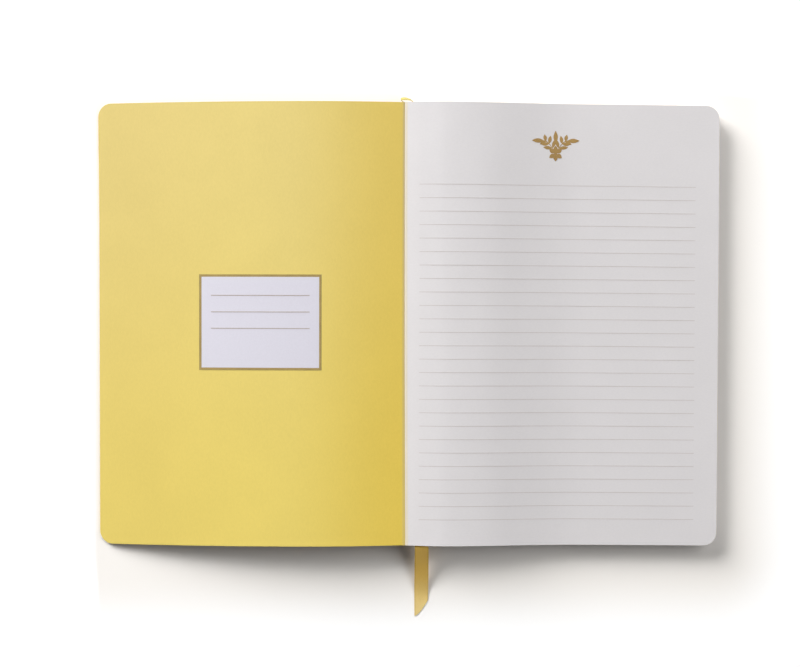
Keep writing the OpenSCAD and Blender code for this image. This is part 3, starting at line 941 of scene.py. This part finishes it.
class JOURNAL_OT_endpapers(bpy.types.Operator):
    """Makes the yellow endpapers pasted inside the covers"""

    bl_idname = "journal.endpapers"
    bl_label = "Endpapers"

    def execute(self, context):
        s, c = book()
        yellow = finish_of("endpaper_yellow", endpaper_finish, c)
        mid = s.endpaper_t / 2
        # The inner edge is tucked down at the gutter, and the fold ends a little way from the gutter line
        tuck, start = 0.55, 2.2
        top = (-start, float(cover_curve(start, s)) - mid)
        fold = curl((0.0, s.gutter_z - tuck), (0.0, s.gutter_z - mid), top, 18)
        line = np.concatenate([fold, front_line(s, mid, start)[1:]])

        def to_seam(points):
            """The inner edge reaches over the gutter line to the seam and rises with the leaves there."""
            share = smooth(np.clip((points[..., 0] + 1.5) / 1.5, 0, 1))
            out = seam_at(points[..., 1], s) * share
            rise = (leaf_curve(out, s) - s.gutter_z + 0.03) * share
            return points + np.stack([out, 0 * out, rise], -1)

        front = board("endpaper_front", line, s.endpaper_t, s, yellow, dense_start(150, 1.9), to_seam)
        bend(front)
        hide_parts("front_endpaper")
        line = back_line(s, 0.05, s.cover_t + mid)
        back = board("endpaper_back", line, s.endpaper_t, s, yellow, dense_start(110, 1.9))
        bend(back)
        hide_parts("back_endpaper")
        return {"FINISHED"}


class JOURNAL_OT_leaves(bpy.types.Operator):
    """Makes the leaves: the stack below the ribbon, the few above it and the loose first leaf"""

    bl_idname = "journal.leaves"
    bl_label = "Leaves"

    def execute(self, context):
        s, c = book()
        # Air under the stack, above the ribbon and under the first leaf, so that no two surfaces meet
        ground = s.cover_t + s.endpaper_t + 0.02
        packet = s.ribbon_depth - s.ribbon_t / 2 - 0.06
        first_t = 0.11

        def groove(x, y):
            """How far the ribbon presses the leaves down: fully under its middle, not at all 3 mm beside it."""
            share = (s.book_h / 2 - y) / s.book_h
            centre = s.ribbon_head_x + (s.ribbon_foot_x - s.ribbon_head_x) * share
            return (s.ribbon_t + 0.1) * np.exp(-((np.abs(x - centre) / (s.ribbon_w * 0.62)) ** 4))

        def under_ribbon(x, y):
            return leaf_curve(x, s) - packet - groove(x, y)

        def below_page(depth):
            """A surface at an even depth below the page."""
            return lambda x, y: leaf_curve(x, s) - depth + 0.0 * y

        def ground_at(x, y):
            return np.full(np.shape(x), ground)

        paper = finish_of("leaf_paper", leaf_finish, c)
        cuts = [finish_of("leaf_edges_%d" % number, edge_finish, c) for number in (s.leaves, s.upper_leaves)]
        stack = block_shell("leaves_below", s, ground_at, under_ribbon, s.leaves, s.back_reach, 11, cuts[0])
        over_ribbon, below_first = below_page(packet), below_page(first_t + 0.03)
        reach = s.back_reach - 0.1
        upper = block_shell("leaves_above", s, over_ribbon, below_first, s.upper_leaves, reach, 23, cuts[1])
        x = np.concatenate([np.linspace(1.0, 20, 32), np.linspace(21, s.first_reach, 80)])
        run = np.stack([x, leaf_curve(x, s) - first_t / 2], -1)
        fold = curl((0.0, s.gutter_z - 0.15), (0.0, s.gutter_z - first_t / 2), run[0], 8)

        def from_seam(points):
            """The inner edge starts at the seam and keeps the leaves' height there."""
            share = 1 - smooth(np.clip(points[..., 0] / 6, 0, 1))
            out = (seam_at(points[..., 1], s) + 0.08) * share
            rise = leaf_curve(points[..., 0] + out, s) - leaf_curve(points[..., 0], s)
            return points + np.stack([out, 0 * out, rise], -1)

        line = np.concatenate([fold, run[1:]])
        first = board("first_leaf", line, first_t, s, paper, dense_start(150, 1.3), from_seam)
        for piece in (stack, upper, first):
            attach(piece, "leaves")
        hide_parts("text_block")
        return {"FINISHED"}


class JOURNAL_OT_rules(bpy.types.Operator):
    """Rules the first page"""

    bl_idname = "journal.rules"
    bl_label = "Ruled lines"

    def execute(self, context):
        s, c = book()
        x = np.linspace(s.rule_start, s.rule_end, 90)
        y = s.book_h / 2 - s.rule_first - s.rule_pitch * np.arange(s.rules)
        # Four corners of each line's cross-section, in order round it: across the line and above the page
        corner = np.array([(-0.5, 0.045), (0.5, 0.045), (0.5, -0.03), (-0.5, -0.03)])
        shape = (s.rules, len(x), len(corner))
        px = np.broadcast_to(x[None, :, None], shape)
        py = y[:, None, None] + corner[:, 0] * s.rule_w
        pz = leaf_curve(x, s)[None, :, None] + corner[:, 1]
        points = askew(np.stack(np.broadcast_arrays(px, py, pz), -1), s)
        index = np.arange(points[..., 0].size).reshape(shape)
        near, far = index[:, :-1], index[:, 1:]
        sides = np.stack([near, np.roll(near, -1, 2), np.roll(far, -1, 2), far], -1).reshape(-1, 4)
        ends = np.concatenate([index[:, 0, ::-1], index[:, -1]])
        ink = finish_of("page_rule", rule_finish, c, 0.5)
        rules = new_piece("page_rules", points.reshape(-1, 3), np.concatenate([sides, ends]), ink)
        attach(rules, "leaves")
        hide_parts("ruled_lines")
        return {"FINISHED"}


class JOURNAL_OT_print(bpy.types.Operator):
    """Finishes the bookplate, the ornament and the spine lining"""

    bl_idname = "journal.print"
    bl_label = "Print and lining"

    def execute(self, context):
        _, c = book()
        finishes = {
            "label_border": finish_of("border_gold", gold_finish, c.border),
            "page_ornament": finish_of("ornament_gold", gold_finish, c.gold),
            "label_panel": finish_of("plate_white", plate_finish, c),
            "label_rules": finish_of("plate_rule", rule_finish, c, 0.9),
            "spine_lining": finish_of("lining_gauze", lining_finish, c),
        }
        for node, material in finishes.items():
            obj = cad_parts[node]
            obj.data.materials.clear()
            obj.data.materials.append(material)
        return {"FINISHED"}


class JOURNAL_PT_panel(bpy.types.Panel):
    """Lists the journal's operators"""

    bl_idname = "JOURNAL_PT_panel"
    bl_label = "Softcover journal"
    bl_space_type = "VIEW_3D"
    bl_region_type = "UI"
    bl_category = "Journal"

    def draw(self, context):
        for operator in OPERATORS:
            self.layout.operator(operator.bl_idname)


OPERATORS = (
    JOURNAL_OT_stage,
    JOURNAL_OT_ribbon,
    JOURNAL_OT_cover,
    JOURNAL_OT_endpapers,
    JOURNAL_OT_leaves,
    JOURNAL_OT_rules,
    JOURNAL_OT_print,
)
CLASSES = (JournalSizes, JournalColours, *OPERATORS, JOURNAL_PT_panel)


def register():
    for cls in CLASSES:
        bpy.utils.register_class(cls)
    bpy.types.Scene.journal_sizes = PointerProperty(type=JournalSizes)
    bpy.types.Scene.journal_colours = PointerProperty(type=JournalColours)


def unregister():
    del bpy.types.Scene.journal_colours
    del bpy.types.Scene.journal_sizes
    for cls in reversed(CLASSES):
        bpy.utils.unregister_class(cls)


def plain(box):
    """A box as lists of numbers."""
    return [[float(v) for v in corner] for corner in box]


def main():
    """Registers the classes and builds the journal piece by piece."""
    register()
    for operator in OPERATORS:
        group, name = operator.bl_idname.split(".")
        getattr(getattr(bpy.ops, group), name)()
    bpy.context.view_layer.update()


if __name__ == "__main__":
    main()
